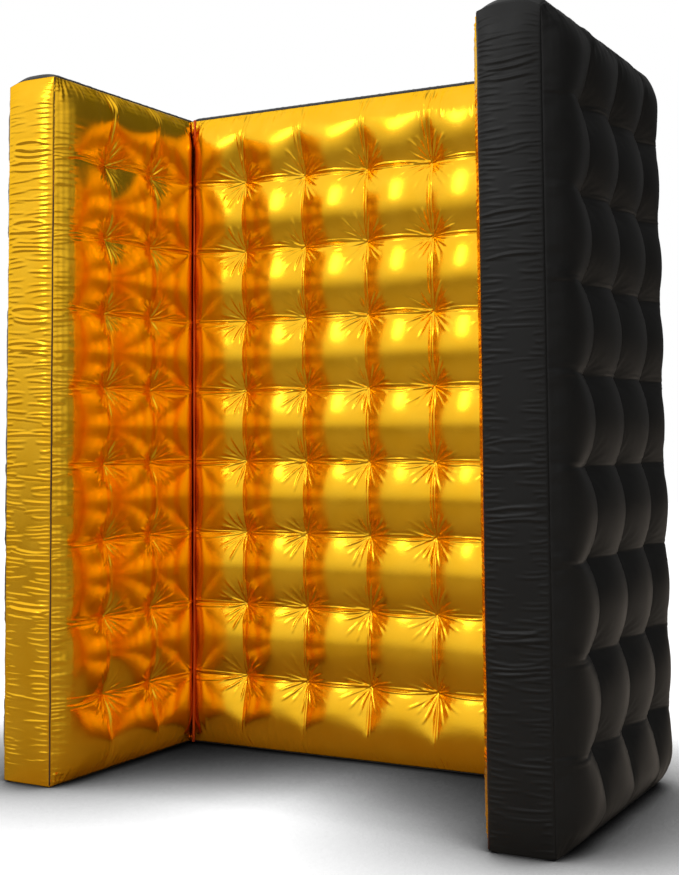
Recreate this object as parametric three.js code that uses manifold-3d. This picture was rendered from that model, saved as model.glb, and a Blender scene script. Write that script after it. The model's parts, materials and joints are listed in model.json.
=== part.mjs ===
import * as THREE from "three";
import { mergeVertices } from "three/addons/utils/BufferGeometryUtils.js";
import Module from "manifold-3d";

const wasm = await Module();
wasm.setup();

// ---- driving dimensions, millimetres -------------------------------------------------
const innerWidth = 1560;      // between the two wings, seam to seam
const innerDepth = 840;       // from the front edge to the inner back seam
const wallHeight = 2400;      // floor to top seam
const wall = 195;             // wall thickness, seam to seam
const backCells = 6;          // tufted cells across the inner back
const wingCells = 3;          // tufted cells along an inner wing
const rows = 9;               // tufted cells up every wall
const innerCrest = 60;        // how far an inner cell puffs out of its seam plane
const outerCrest = 70;
const frontCrest = 20;
const topCrest = 20;
const cloth = 1.2;            // cloth stand-in thickness
const baseCloth = 3;          // heavier ground cloth
const gap = 0.3;              // between neighbouring pieces
const webThick = 2;
const webWidth = 40;          // strap height at a tuft
const spineWidth = 30;
const blowerRadius = 92;
const blowerLength = 150;
const blowerRow = 1;          // row of cells that holds the blower, counted from the floor
const plateau = 45;           // flattened cloth under sewn-on pieces
const zipLength = 440;
const anchorSize = 70;

// ---- derived frame: origin under the middle of the bounding box -----------------------
const halfIn = innerWidth / 2;
const halfOut = halfIn + wall;
const yFront = -(innerDepth + wall + outerCrest - frontCrest) / 2;
const yBack = yFront + innerDepth;
const yOuter = yBack + wall;
const pitch = wallHeight / rows;
const cellBack = innerWidth / backCells;
const cellWing = innerDepth / wingCells;
const tieHeights = Array.from({ length: rows - 1 }, (_, i) => (i + 1) * pitch);
const backTies = Array.from({ length: backCells - 1 }, (_, i) => -halfIn + (i + 1) * cellBack);
const wingTies = Array.from({ length: wingCells - 1 }, (_, i) => yFront + (i + 1) * cellWing);
const cornerY = yBack - 1.5;  // plane of the straps that run sideways from the inner corner
const cornerX = halfIn - 1.5; // plane of the straps that run backwards from it

// ---- materials ------------------------------------------------------------------------
const looks = {
  gold: { color: 0xe3a21a, roughness: 0.32, metalness: 0.85 },
  black: { color: 0x17171a, roughness: 0.8, metalness: 0 },
  ground: { color: 0x202022, roughness: 0.7, metalness: 0 },
  webbing: { color: 0xb9b6ad, roughness: 0.85, metalness: 0 },
  strap: { color: 0x1c1c1f, roughness: 0.85, metalness: 0 },
  plastic: { color: 0x26282b, roughness: 0.5, metalness: 0 },
  rotor: { color: 0x3a3d42, roughness: 0.45, metalness: 0 },
  steel: { color: 0xb8bbc0, roughness: 0.3, metalness: 1 },
  motor: { color: 0x7d8086, roughness: 0.4, metalness: 0.9 },
};

const booth = new THREE.Group();
booth.name = "photo_booth_enclosure";

function add(name, geometry, look) {
  const mesh = new THREE.Mesh(geometry, new THREE.MeshStandardMaterial(looks[look]));
  mesh.name = name;
  booth.add(mesh);
}

// ---- solid helpers --------------------------------------------------------------------
function weld(geometry) {
  const g = geometry.clone();
  g.deleteAttribute("normal");
  g.deleteAttribute("uv");
  return mergeVertices(g, 1e-4);
}

function toSolid(geometry) {
  const g = weld(geometry);
  const mesh = new wasm.Mesh({
    numProp: 3,
    vertProperties: new Float32Array(g.attributes.position.array),
    triVerts: new Uint32Array(g.index.array),
  });
  return new wasm.Manifold(mesh);
}

function fromSolid(solid) {
  const mesh = solid.getMesh();
  const g = new THREE.BufferGeometry();
  g.setAttribute("position", new THREE.BufferAttribute(new Float32Array(mesh.vertProperties), 3));
  g.setIndex(new THREE.BufferAttribute(new Uint32Array(mesh.triVerts), 1));
  return g;
}

function cut(geometry, tools) {
  let solid = toSolid(geometry);
  for (const tool of tools) solid = solid.subtract(toSolid(tool));
  return fromSolid(solid);
}

function join(parts) {
  let solid = toSolid(parts[0]);
  for (const part of parts.slice(1)) solid = solid.add(toSolid(part));
  return fromSolid(solid);
}

function box(x0, x1, y0, y1, z0, z1) {
  const g = new THREE.BoxGeometry(x1 - x0, y1 - y0, z1 - z0);
  g.translate((x0 + x1) / 2, (y0 + y1) / 2, (z0 + z1) / 2);
  return g;
}

// profile: [radius, distance along +Y] pairs, turned about an axis along Y at (x, z)
function turned(profile, x, z, sides) {
  const g = new THREE.LatheGeometry(profile.map(([r, y]) => new THREE.Vector2(r, y)), sides);
  g.translate(x, 0, z);
  return outward(g);
}

function ring(rIn, rOut, y0, y1, x, z, sides) {
  return turned([[rIn, y0], [rOut, y0], [rOut, y1], [rIn, y1], [rIn, y0]], x, z, sides);
}

function disc(r, y0, y1, x, z, sides) {
  return turned([[0, y0], [r, y0], [r, y1], [0, y1]], x, z, sides);
}

function outward(geometry) {
  const g = weld(geometry);
  const p = g.attributes.position;
  const idx = g.index.array;
  const a = new THREE.Vector3();
  const b = new THREE.Vector3();
  const c = new THREE.Vector3();
  let volume = 0;
  for (let i = 0; i < idx.length; i += 3) {
    a.fromBufferAttribute(p, idx[i]);
    b.fromBufferAttribute(p, idx[i + 1]);
    c.fromBufferAttribute(p, idx[i + 2]);
    volume += a.dot(b.cross(c));
  }
  if (volume < 0) {
    for (let i = 0; i < idx.length; i += 3) [idx[i + 1], idx[i + 2]] = [idx[i + 2], idx[i + 1]];
  }
  return g;
}

// an outline in one plane, extruded: place(u, v, w) gives the point in the frame
function slab(outline, w0, w1, place, hole) {
  const shape = new THREE.Shape(outline.map(([u, v]) => new THREE.Vector2(u, v)));
  if (hole) shape.holes.push(new THREE.Path(hole.map(([u, v]) => new THREE.Vector2(u, v))));
  const g = new THREE.ExtrudeGeometry(shape, { depth: w1 - w0, bevelEnabled: false });
  return moved(g, (u, v, w) => place(u, v, w0 + w));
}

function moved(geometry, place) {
  const p = geometry.attributes.position;
  for (let i = 0; i < p.count; i += 1) p.setXYZ(i, ...place(p.getX(i), p.getY(i), p.getZ(i)));
  return outward(geometry);
}

// ---- quilted cloth --------------------------------------------------------------------
// lines: where the grid is split; ends and ties in order, plus the middles between them
function gridLines(ends, ties, extra) {
  const marks = [ends[0], ...ties, ends[1]];
  const lines = [...marks];
  for (let i = 1; i < marks.length; i += 1) lines.push((marks[i - 1] + marks[i]) / 2);
  for (const e of extra) {
    if (lines.every((l) => Math.abs(l - e) > 6)) lines.push(e);
  }
  return lines.sort((a, b) => a - b);
}

function cellPhase(value, marks) {
  for (let i = 1; i < marks.length; i += 1) {
    if (value <= marks[i] + 1e-6) {
      return { cell: i - 1, t: (value - marks[i - 1]) / (marks[i] - marks[i - 1]) };
    }
  }
  return { cell: marks.length - 2, t: 1 };
}

// puff height, 0 at the seams and the tufts, lower along the crease between two rows
function puff(u, v, uMarks, vMarks, crest) {
  const pu = cellPhase(u, uMarks);
  const pv = cellPhase(v, vMarks);
  const cu = Math.abs(Math.cos(Math.PI * pu.t)) ** 1.5;
  const cv = Math.abs(Math.cos(Math.PI * pv.t)) ** 1.5;
  const edgeU = edgeRise(pu, uMarks.length - 1);
  const edgeV = edgeRise(pv, vMarks.length - 1);
  return crest * edgeU * edgeV * ((1 - 0.65 * cv) * (1 - 0.2 * cu) - 0.28 * cu * cv);
}

function edgeRise(phase, cells) {
  let rise = 1;
  if (phase.cell === 0) rise = Math.min(rise, phase.t * 2);
  if (phase.cell === cells - 1) rise = Math.min(rise, (1 - phase.t) * 2);
  return Math.sqrt(1 - (1 - rise) ** 2);
}

function quilt({ u, v, uTies, vTies, crest, place, flats = [] }) {
  const uLines = gridLines(u, uTies, flats.flatMap((f) => [f.u0, f.u1]));
  const vLines = gridLines(v, vTies, flats.flatMap((f) => [f.v0, f.v1]));
  const uMarks = [u[0], ...uTies, u[1]];
  const vMarks = [v[0], ...vTies, v[1]];
  const height = (a, b) => {
    for (const f of flats) {
      if (a > f.u0 - 7 && a < f.u1 + 7 && b > f.v0 - 7 && b < f.v1 + 7) return f.h;
    }
    return puff(a, b, uMarks, vMarks, crest);
  };
  return sheet(uLines, vLines, height, cloth, place);
}

function sheet(uLines, vLines, height, thick, place) {
  const points = [];
  const faces = [];
  const nu = uLines.length;
  const nv = vLines.length;
  for (const drop of [0, thick]) {
    for (let j = 0; j < nv; j += 1) {
      for (let i = 0; i < nu; i += 1) {
        points.push(...place(uLines[i], vLines[j], height(uLines[i], vLines[j]) - drop));
      }
    }
  }
  const at = (i, j, side) => side * nu * nv + j * nu + i;
  const quad = (a, b, c, d) => faces.push(a, b, c, a, c, d);
  for (let j = 0; j + 1 < nv; j += 1) {
    for (let i = 0; i + 1 < nu; i += 1) {
      quad(at(i, j, 0), at(i + 1, j, 0), at(i + 1, j + 1, 0), at(i, j + 1, 0));
      quad(at(i, j, 1), at(i, j + 1, 1), at(i + 1, j + 1, 1), at(i + 1, j, 1));
    }
  }
  for (let i = 0; i + 1 < nu; i += 1) {
    quad(at(i, 0, 1), at(i + 1, 0, 1), at(i + 1, 0, 0), at(i, 0, 0));
    quad(at(i, nv - 1, 0), at(i + 1, nv - 1, 0), at(i + 1, nv - 1, 1), at(i, nv - 1, 1));
  }
  for (let j = 0; j + 1 < nv; j += 1) {
    quad(at(0, j, 0), at(0, j + 1, 0), at(0, j + 1, 1), at(0, j, 1));
    quad(at(nu - 1, j, 1), at(nu - 1, j + 1, 1), at(nu - 1, j + 1, 0), at(nu - 1, j, 0));
  }
  const g = new THREE.BufferGeometry();
  g.setAttribute("position", new THREE.Float32BufferAttribute(points, 3));
  g.setIndex(faces);
  return outward(g);
}

// ---- the inner and outer faces --------------------------------------------------------
const zLow = baseCloth + gap;
const zSpan = [zLow, wallHeight];
const sides = [["left", -1], ["right", 1]];
const outerBackTies = [-halfIn + 1.5, ...backTies, halfIn - 1.5];
const blower = { x: halfIn - cellBack / 2, z: (blowerRow + 0.5) * pitch };
const zip = { x: -halfIn + cellBack, z: pitch * 0.5 };
const anchorX = halfIn + wall / 2;
const anchorZ = pitch * 0.5;
const portMargin = 24;
const zipMargin = 20;
const patchMargin = 5;
const portHalf = blowerRadius + portMargin;
const lowHalf = anchorSize / 2 + patchMargin;

// a level place on the puffed outer back, halfU by halfV around (x, z)
function flatAround(x, z, halfU, halfV) {
  return { u0: x - halfU, u1: x + halfU, v0: z - halfV, v1: z + halfV, h: plateau };
}

const backFlats = [
  flatAround(blower.x, blower.z, portHalf, portHalf),
  flatAround(zip.x, zip.z, zipLength / 2 + zipMargin, lowHalf),
];
for (const [, s] of sides) {
  backFlats.push(flatAround(s * anchorX, anchorZ, lowHalf, lowHalf));
}

add("back_inner_panel", quilt({
  u: [-halfIn + gap, halfIn - gap],
  v: zSpan,
  uTies: backTies,
  vTies: tieHeights,
  crest: innerCrest,
  place: (u, v, w) => [u, yBack - w, v],
}), "gold");

const facePort = yOuter + plateau;
const screwSpots = [45, 135, 225, 315].map((deg) => {
  const a = THREE.MathUtils.degToRad(deg);
  const r = blowerRadius + 9;
  return { x: blower.x + r * Math.cos(a), z: blower.z + r * Math.sin(a) };
});
const zipSlot = box(
  zip.x - zipLength / 2 + 10, zip.x + zipLength / 2 - 10, facePort - 10, facePort + 10, zip.z - 9, zip.z + 9,
);
add("back_outer_panel", cut(quilt({
  u: [-halfOut + gap, halfOut - gap],
  v: zSpan,
  uTies: outerBackTies,
  vTies: tieHeights,
  crest: outerCrest,
  flats: backFlats,
  place: (u, v, w) => [u, yOuter + w, v],
}), [
  disc(blowerRadius + 1, facePort - 20, facePort + 20, blower.x, blower.z, 40),
  ...screwSpots.map((p) => disc(2.6, facePort - 20, facePort + 20, p.x, p.z, 10)),
  zipSlot,
]), "black");

for (const [name, s] of sides) {
  add(`${name}_inner_panel`, quilt({
    u: [yFront + cloth + gap, yBack - gap],
    v: zSpan,
    uTies: wingTies,
    vTies: tieHeights,
    crest: innerCrest,
    place: (u, v, w) => [s * (halfIn - w), u, v],
  }), "gold");
  add(`${name}_outer_panel`, quilt({
    u: [yFront + cloth + gap, yOuter - cloth - gap],
    v: zSpan,
    uTies: [...wingTies, cornerY],
    vTies: tieHeights,
    crest: outerCrest,
    place: (u, v, w) => [s * (halfOut + w), u, v],
  }), "black");
  add(`${name}_front_gusset`, quilt({
    u: [halfIn, halfOut],
    v: zSpan,
    uTies: [],
    vTies: tieHeights,
    crest: frontCrest,
    place: (u, v, w) => [s * u, yFront - w, v],
  }), name === "left" ? "gold" : "black");
}

// ---- top strips and ground cloths -----------------------------------------------------
function crown(u0, u1, v0, v1, nu, nv, place) {
  const line = (a, b, n) => Array.from({ length: n + 1 }, (_, i) => a + ((b - a) * i) / n);
  const rise = (u, v) => {
    const a = (u - u0) / (u1 - u0);
    const b = (v - v0) / (v1 - v0);
    const arch = (t) => Math.max(0, Math.sin(Math.PI * t));
    return topCrest * arch(a) ** 0.7 * arch(b) ** 0.3;
  };
  return sheet(line(u0, u1, nu), line(v0, v1, nv), rise, cloth, place);
}

const inset = cloth + gap;
for (const [name, s] of sides) {
  add(`${name}_top_strip`, crown(halfIn + inset, halfOut - inset, yFront + inset, yOuter - inset, 4, 8,
    (u, v, w) => [s * u, v, wallHeight - gap + w]), "black");
  add(`${name}_ground_cloth`, box(
    Math.min(s * halfIn, s * halfOut), Math.max(s * halfIn, s * halfOut), yFront, yOuter, 0, baseCloth,
  ), "ground");
}
add("back_top_strip", crown(-halfIn + gap, halfIn - gap, yBack + inset, yOuter - inset, 12, 4,
  (u, v, w) => [u, v, wallHeight - gap + w]), "black");
add("back_ground_cloth", box(-halfIn + gap, halfIn - gap, yBack, yOuter, 0, baseCloth), "ground");

// ---- cords sewn into the two inner corners ---------------------------------------------
const cordRadius = 2.2;
const cornerSlope = (2 * innerCrest) / Math.min(cellBack, cellWing);
const cordAt = ((cordRadius + gap) * Math.hypot(1, cornerSlope)) / (1 - cornerSlope);
for (const [name, s] of sides) {
  const cord = new THREE.CylinderGeometry(cordRadius, cordRadius, wallHeight - zLow - 10, 8);
  cord.rotateX(Math.PI / 2);
  cord.translate(s * (halfIn - cordAt), yBack - cordAt, (wallHeight + zLow) / 2);
  add(`${name}_corner_cord`, outward(cord), "gold");
}

// ---- straps inside the walls: a spine with one cross strap at every tuft ---------------
function ladder(from, to) {
  const mid = (from + to) / 2;
  const right = [];
  const left = [];
  for (const z of tieHeights) {
    const z0 = z - webWidth / 2;
    const z1 = z + webWidth / 2;
    const inner = mid + spineWidth / 2;
    const outer = mid - spineWidth / 2;
    right.push([inner, z0], [to, z0], [to, z1], [inner, z1]);
    left.push([outer, z0], [from, z0], [from, z1], [outer, z1]);
  }
  return [...right, ...left.reverse()];
}

const backSpan = [yBack + cloth + gap, yOuter - cloth - gap];
const wingSpan = [halfIn + cloth + gap, halfOut - cloth - gap];
const halfWeb = webThick / 2;
backTies.forEach((x, i) => {
  add(`back_strap_${i + 1}`, slab(ladder(...backSpan), x - halfWeb, x + halfWeb, (u, v, w) => [w, u, v]),
    "webbing");
});
for (const [name, s] of sides) {
  wingTies.forEach((y, i) => {
    add(`${name}_strap_${i + 1}`, slab(ladder(...wingSpan), y - halfWeb, y + halfWeb,
      (u, v, w) => [s * u, w, v]), "webbing");
  });
  add(`${name}_corner_strap_side`, slab(ladder(...wingSpan), cornerY - halfWeb, cornerY + halfWeb,
    (u, v, w) => [s * u, w, v]), "webbing");
  add(`${name}_corner_strap_back`, slab(ladder(...backSpan), cornerX - halfWeb, cornerX + halfWeb,
    (u, v, w) => [s * w, u, v]), "webbing");
}

// ---- blower in the back wall ----------------------------------------------------------
const bx = blower.x;
const bz = blower.z;
const flangeRadius = blowerRadius + 16;
const flangeThick = 4;
const drumWall = 3;
const faceOut = facePort + gap;
const drumInner = blowerRadius - drumWall;
const motorRadius = 33;
const shaftRadius = 4;
const hubRadius = 18;
const bladeRadius = drumInner - 5;

const drumBack = facePort - blowerLength;
const flangeFront = faceOut + flangeThick;

add("blower_housing", ring(drumInner, blowerRadius, drumBack, flangeFront, bx, bz, 40), "plastic");
add("blower_flange", cut(ring(blowerRadius + gap, flangeRadius, faceOut, faceOut + flangeThick, bx, bz, 40),
  screwSpots.map((p) => disc(2.6, faceOut - 5, faceOut + 10, p.x, p.z, 10))), "plastic");

const clampFace = facePort - cloth - gap;
add("blower_clamp_ring", cut(ring(blowerRadius + gap, flangeRadius, clampFace - 4, clampFace, bx, bz, 40),
  screwSpots.map((p) => disc(2.6, clampFace - 8, clampFace + 4, p.x, p.z, 10))), "plastic");

const headSeat = faceOut + flangeThick + gap;
screwSpots.forEach((p, i) => {
  add(`blower_screw_${i + 1}`, turned([
    [0, clampFace - 6], [2.1, clampFace - 6], [2.1, headSeat], [4.6, headSeat], [4.2, headSeat + 2],
    [0, headSeat + 2.6],
  ], p.x, p.z, 10), "steel");
});

const plateBack = faceOut - 2;
const plateFront = faceOut + 3;
const switchAt = bz + 16;
const plugAt = bz - 18;
const plateTools = [];
for (let i = 0; i < 16; i += 1) {
  const slot = box(46, drumInner - 10, plateBack - 2, plateFront + 2, -4, 4);
  slot.rotateY((i / 16) * Math.PI * 2);
  slot.translate(bx, 0, bz);
  plateTools.push(slot);
}
plateTools.push(box(bx - 13, bx + 13, plateBack - 2, plateFront + 2, switchAt - 9, switchAt + 9));
plateTools.push(disc(8, plateBack - 2, plateFront + 2, bx, plugAt, 16));
const plate = disc(drumInner - gap, plateBack, plateFront, bx, bz, 40);
add("blower_inlet_grille", cut(plate, plateTools), "plastic");

add("switch_frame", cut(join([
  box(bx - 12.7, bx + 12.7, plateBack - 12, plateFront + gap + 0.5, switchAt - 8.7, switchAt + 8.7),
  box(bx - 15, bx + 15, plateFront + gap, plateFront + gap + 2, switchAt - 11, switchAt + 11),
]), [box(bx - 10, bx + 10, plateBack - 8, plateFront + 8, switchAt - 7, switchAt + 7)]), "plastic");

const rockerPivot = plateFront - 1;
add("switch_rocker", slab([
  [rockerPivot - 5, switchAt], [rockerPivot - 2, switchAt - 5.6], [rockerPivot + 3.6, switchAt - 6.2],
  [rockerPivot + 2.4, switchAt], [rockerPivot + 5.6, switchAt + 5.4], [rockerPivot + 0.5, switchAt + 6],
], bx - 9.4, bx + 9.4, (u, v, w) => [w, u, v]), "rotor");

add("power_inlet_gland", turned([
  [0, plateBack - 10], [7.6, plateBack - 10], [7.6, plateFront + gap], [10.5, plateFront + gap],
  [10.5, plateFront + gap + 5], [7, plateFront + gap + 9], [3.4, plateFront + gap + 9],
  [3.4, plateFront - 4], [0, plateFront - 4],
], bx, plugAt, 16), "plastic");

const motorBack = facePort - 124;
const motorFront = facePort - 66;
add("motor", turned([
  [0, motorBack], [motorRadius - 4, motorBack], [motorRadius, motorBack + 4], [motorRadius, motorFront - 4],
  [motorRadius - 4, motorFront], [shaftRadius + gap, motorFront], [shaftRadius + gap, motorFront - 18],
  [0, motorFront - 18],
], bx, bz, 24), "motor");

const armFront = motorBack + 34;
const spiderParts = [ring(motorRadius + gap, motorRadius + 5, motorBack + 20, armFront, bx, bz, 32)];
for (let i = 0; i < 3; i += 1) {
  const arm = box(motorRadius + 3, drumInner - gap - 0.4, motorBack + 22, armFront - 2, -4, 4);
  arm.rotateY((i / 3) * Math.PI * 2 + 0.4);
  arm.translate(bx, 0, bz);
  spiderParts.push(arm);
}
add("motor_mount", join(spiderParts), "plastic");

const shaftFront = facePort - 24;
add("motor_shaft", disc(shaftRadius, motorFront - 18 + gap, shaftFront, bx, bz, 12), "steel");

const hubBack = motorFront + 6;
const hubFront = shaftFront - 1;
const rotorParts = [ring(shaftRadius + gap, hubRadius, hubBack, hubFront, bx, bz, 24)];
for (let i = 0; i < 7; i += 1) {
  const blade = box(hubRadius - 2, bladeRadius, -1.2, 1.2, -15, 15);
  blade.rotateX(THREE.MathUtils.degToRad(52));
  blade.translate(0, (hubBack + hubFront) / 2, 0);
  blade.rotateY((i / 7) * Math.PI * 2);
  blade.translate(bx, 0, bz);
  rotorParts.push(blade);
}
add("impeller", join(rotorParts), "rotor");

// ---- deflation zip --------------------------------------------------------------------
const zipY = facePort + gap;
const tapeThick = 1;
const chainHalf = 3;
const zx0 = zip.x - zipLength / 2;
const zx1 = zip.x + zipLength / 2;
for (const [name, s] of [["lower", -1], ["upper", 1]]) {
  const a = zip.z + s * (chainHalf + gap);
  const b = zip.z + s * 20;
  add(`zip_tape_${name}`, box(zx0, zx1, zipY, zipY + tapeThick, Math.min(a, b), Math.max(a, b)), "strap");
}
const teeth = [box(zx0 + 6, zx1 - 6, zipY, zipY + 1.4, zip.z - 1.4, zip.z + 1.4)];
const toothCount = 24;
for (let i = 0; i < toothCount; i += 1) {
  const x = zx0 + 12 + (i * (zipLength - 24)) / (toothCount - 1);
  teeth.push(box(x - 4, x + 4, zipY, zipY + 2.2, zip.z - chainHalf, zip.z + chainHalf));
}
add("zip_teeth", join(teeth), "plastic");

const sliderX = zx0 + 30;
const sliderTop = zipY + 2.2 + gap + 2;
const tapeTop = zipY + tapeThick + gap;
const sliderHalf = 8;
const slotHalf = chainHalf + gap;
const sliderBody = box(sliderX - sliderHalf, sliderX + sliderHalf, tapeTop, sliderTop, zip.z - 6, zip.z + 6);
const slotTop = zipY + 2.2 + gap;
const sliderSlot = box(sliderX - 20, sliderX + 20, zipY - 5, slotTop, zip.z - slotHalf, zip.z + slotHalf);
add("zip_slider", cut(sliderBody, [sliderSlot]), "steel");

for (const [name, x] of [["closed_end", zx0 + 3.2], ["open_end", zx1 - 3.2]]) {
  add(`zip_stop_${name}`, box(x - 2.4, x + 2.4, tapeTop, zipY + 4, zip.z - 7, zip.z + 7), "steel");
}

const pinRadius = 1;
const pinY = sliderTop + gap + 4;
const pin = new THREE.CylinderGeometry(pinRadius, pinRadius, 10, 8);
pin.rotateZ(Math.PI / 2);
pin.translate(sliderX, pinY, zip.z);
add("zip_bail", join([
  pin,
  ...[-1, 1].map((s) => box(sliderX + s * 5.25 - 0.75, sliderX + s * 5.25 + 0.75, sliderTop + gap, pinY + 1.6,
    zip.z - 1.6, zip.z + 1.6)),
]), "steel");
const eyeRadius = pinRadius + gap;
const tabHalf = 0.8;
const pullOutline = [[pinY - tabHalf, zip.z - 38], [pinY + tabHalf, zip.z - 38]];
const eyeHole = [];
const eyeOuter = eyeRadius + 1.2;
for (let k = 0; k <= 12; k += 1) {
  const a = -1.25 + (k / 12) * (Math.PI + 2.5);
  pullOutline.push([pinY + eyeOuter * Math.cos(a), zip.z + eyeOuter * Math.sin(a)]);
}
for (let k = 0; k < 12; k += 1) {
  const a = (k / 12) * Math.PI * 2;
  eyeHole.push([pinY + eyeRadius * Math.cos(a), zip.z + eyeRadius * Math.sin(a)]);
}
add("zip_pull", slab(pullOutline, sliderX - 4, sliderX + 4, (u, v, w) => [w, u, v], eyeHole), "steel");

// ---- two anchor points low on the back ------------------------------------------------
const wire = 2.5;
const ringBar = anchorZ - 6;
const barY = facePort + gap + 1.5 + gap + 1.5 + gap + wire;
const loopThick = 1.5;

function wireLoop(points, radius, count) {
  const n = points.length;
  const flat = [];
  const faces = [];
  points.forEach(([u, v], i) => {
    const [pu, pv] = points[(i + n - 1) % n];
    const [nu, nv] = points[(i + 1) % n];
    const tangent = new THREE.Vector2(nu - pu, nv - pv).normalize();
    for (let k = 0; k < count; k += 1) {
      const a = (k / count) * Math.PI * 2;
      const out = radius * Math.cos(a);
      flat.push(u + tangent.y * out, v - tangent.x * out, radius * Math.sin(a));
    }
  });
  for (let i = 0; i < n; i += 1) {
    for (let k = 0; k < count; k += 1) {
      const a = i * count + k;
      const b = i * count + ((k + 1) % count);
      const c = ((i + 1) % n) * count + ((k + 1) % count);
      const d = ((i + 1) % n) * count + k;
      faces.push(a, b, c, a, c, d);
    }
  }
  const g = new THREE.BufferGeometry();
  g.setAttribute("position", new THREE.Float32BufferAttribute(flat, 3));
  g.setIndex(faces);
  return g;
}

for (const [name, s] of sides) {
  const x = s * anchorX;
  const half = anchorSize / 2;
  const patchFace = facePort + gap;
  const patch = box(x - half, x + half, patchFace, patchFace + 1.5, anchorZ - half, anchorZ + half);
  add(`${name}_anchor_patch`, patch, "strap");
  const loop = [];
  const eye = [];
  const tail = patchFace + 1.5 + gap;
  for (let k = 0; k <= 12; k += 1) {
    const a = Math.PI + (k / 12) * Math.PI;
    loop.push([barY - (wire + gap + loopThick) * Math.cos(a - Math.PI), ringBar
      + (wire + gap + loopThick) * Math.sin(a)]);
  }
  for (let k = 0; k < 16; k += 1) {
    const a = (k / 16) * Math.PI * 2;
    eye.push([barY + (wire + gap) * Math.cos(a), ringBar + (wire + gap) * Math.sin(a)]);
  }
  const outline = [[tail, anchorZ + half - 6], [tail, ringBar - 4], ...loop.filter(([u]) => u > tail + 0.4),
    [tail + 6, ringBar + 14], [tail + 1.5, ringBar + 22], [tail + 1.5, anchorZ + half - 6]];
  add(`${name}_anchor_loop`, slab(outline, x - 16, x + 16, (u, v, w) => [w, u, v], eye), "strap");
  const ringWidth = 20;
  const path = [[-ringWidth, 3]];
  for (let k = 0; k <= 12; k += 1) {
    const a = Math.PI + (k / 12) * Math.PI;
    path.push([ringWidth * Math.cos(a), -6 + ringWidth * Math.sin(a)]);
  }
  path.push([ringWidth, 3]);
  const dRing = wireLoop(path.map(([u, v]) => [u, v - 3]), wire, 8);
  add(`${name}_anchor_ring`, moved(dRing, (u, v, w) => [x + u, barY + w, ringBar + v]), "steel");
}

export default booth;
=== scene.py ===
# %% [markdown]
# # An inflatable photo booth
# Three air-filled walls stand in a U. The faces that look into the standing space are metallic gold
# cloth, the outer faces are matt black cloth, and straps inside the walls pull both faces in at rows
# of tufts. The scripted frame holds every size, so this lesson only makes the surfaces: puffed cloth,
# seams, hardware, and their finishes.

import json
import math

import bmesh
import bpy
import numpy as np
from mathutils import Matrix, Vector


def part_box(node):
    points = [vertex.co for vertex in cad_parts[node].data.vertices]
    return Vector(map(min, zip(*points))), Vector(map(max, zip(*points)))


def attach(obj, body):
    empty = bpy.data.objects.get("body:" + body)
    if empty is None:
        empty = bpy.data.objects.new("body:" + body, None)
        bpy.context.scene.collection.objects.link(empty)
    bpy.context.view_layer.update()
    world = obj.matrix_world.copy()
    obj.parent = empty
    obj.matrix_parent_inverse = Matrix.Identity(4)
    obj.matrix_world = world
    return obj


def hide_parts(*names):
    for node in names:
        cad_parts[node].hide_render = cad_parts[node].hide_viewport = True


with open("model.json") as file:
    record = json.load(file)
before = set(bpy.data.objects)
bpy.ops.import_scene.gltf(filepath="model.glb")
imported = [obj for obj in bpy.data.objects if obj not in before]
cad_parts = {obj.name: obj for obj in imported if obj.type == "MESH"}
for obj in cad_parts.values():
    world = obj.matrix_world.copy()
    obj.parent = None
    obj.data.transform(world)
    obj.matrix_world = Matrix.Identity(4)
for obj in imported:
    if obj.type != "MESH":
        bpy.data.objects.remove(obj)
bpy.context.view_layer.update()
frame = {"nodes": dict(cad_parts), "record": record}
nodes = frame["nodes"]
scene = bpy.context.scene
print("frame has", len(nodes), "nodes")

# %% [markdown]
# ## Sizes taken from the frame
# A wall's seams are the edges of its cloth panels, so every size comes from the boxes of the CAD
# nodes. The tufts divide each panel into equal cells, as the straps behind them do.

# %% Seams, tufts and cell sizes
back_low, back_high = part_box("back_inner_panel")
outer_low, outer_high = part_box("back_outer_panel")
gusset_low, gusset_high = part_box("left_front_gusset")
strip_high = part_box("back_top_strip")[1]
flange_low, flange_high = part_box("blower_flange")
tape_low, tape_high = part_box("zip_tape_lower")
CLOTH = 0.0012  # how far the plain panels reach behind their seam plane
SEAT = 0.0003  # a small offset that keeps one pad's rim clear of the next
TUCK = 0.0015  # how far a pad stops short of a seam that another pad covers
SIDES = ((-1, "left"), (1, "right"))
HALF_IN = back_high.x
HALF_OUT = outer_high.x
Y_BACK = back_high.y - CLOTH
Y_OUTER = outer_low.y + CLOTH
Y_FRONT = gusset_high.y - CLOTH
Z_LOW = back_low.z
Z_TOP = back_high.z
ROWS = 9
PITCH = Z_TOP / ROWS
INNER_CREST = Y_BACK - back_low.y
OUTER_CREST = outer_high.y - Y_OUTER
PLATEAU = tape_low.y - Y_OUTER - SEAT  # height of the flattened places on the back
ROW_TIES = [PITCH * (i + 1) for i in range(ROWS - 1)]
BACK_TIES = [sum(corner.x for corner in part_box(f"back_strap_{i + 1}")) / 2 for i in range(5)]
WING_TIES = [sum(corner.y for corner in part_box(f"left_strap_{i + 1}")) / 2 for i in range(2)]
print("row pitch", round(PITCH, 4), "crests", round(INNER_CREST, 3), round(OUTER_CREST, 3))

# %% [markdown]
# ## Camera
# The booth is seen from its right, at about chest height, with a moderately long lens. The small
# shift keeps the walls upright in the view.

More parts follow.
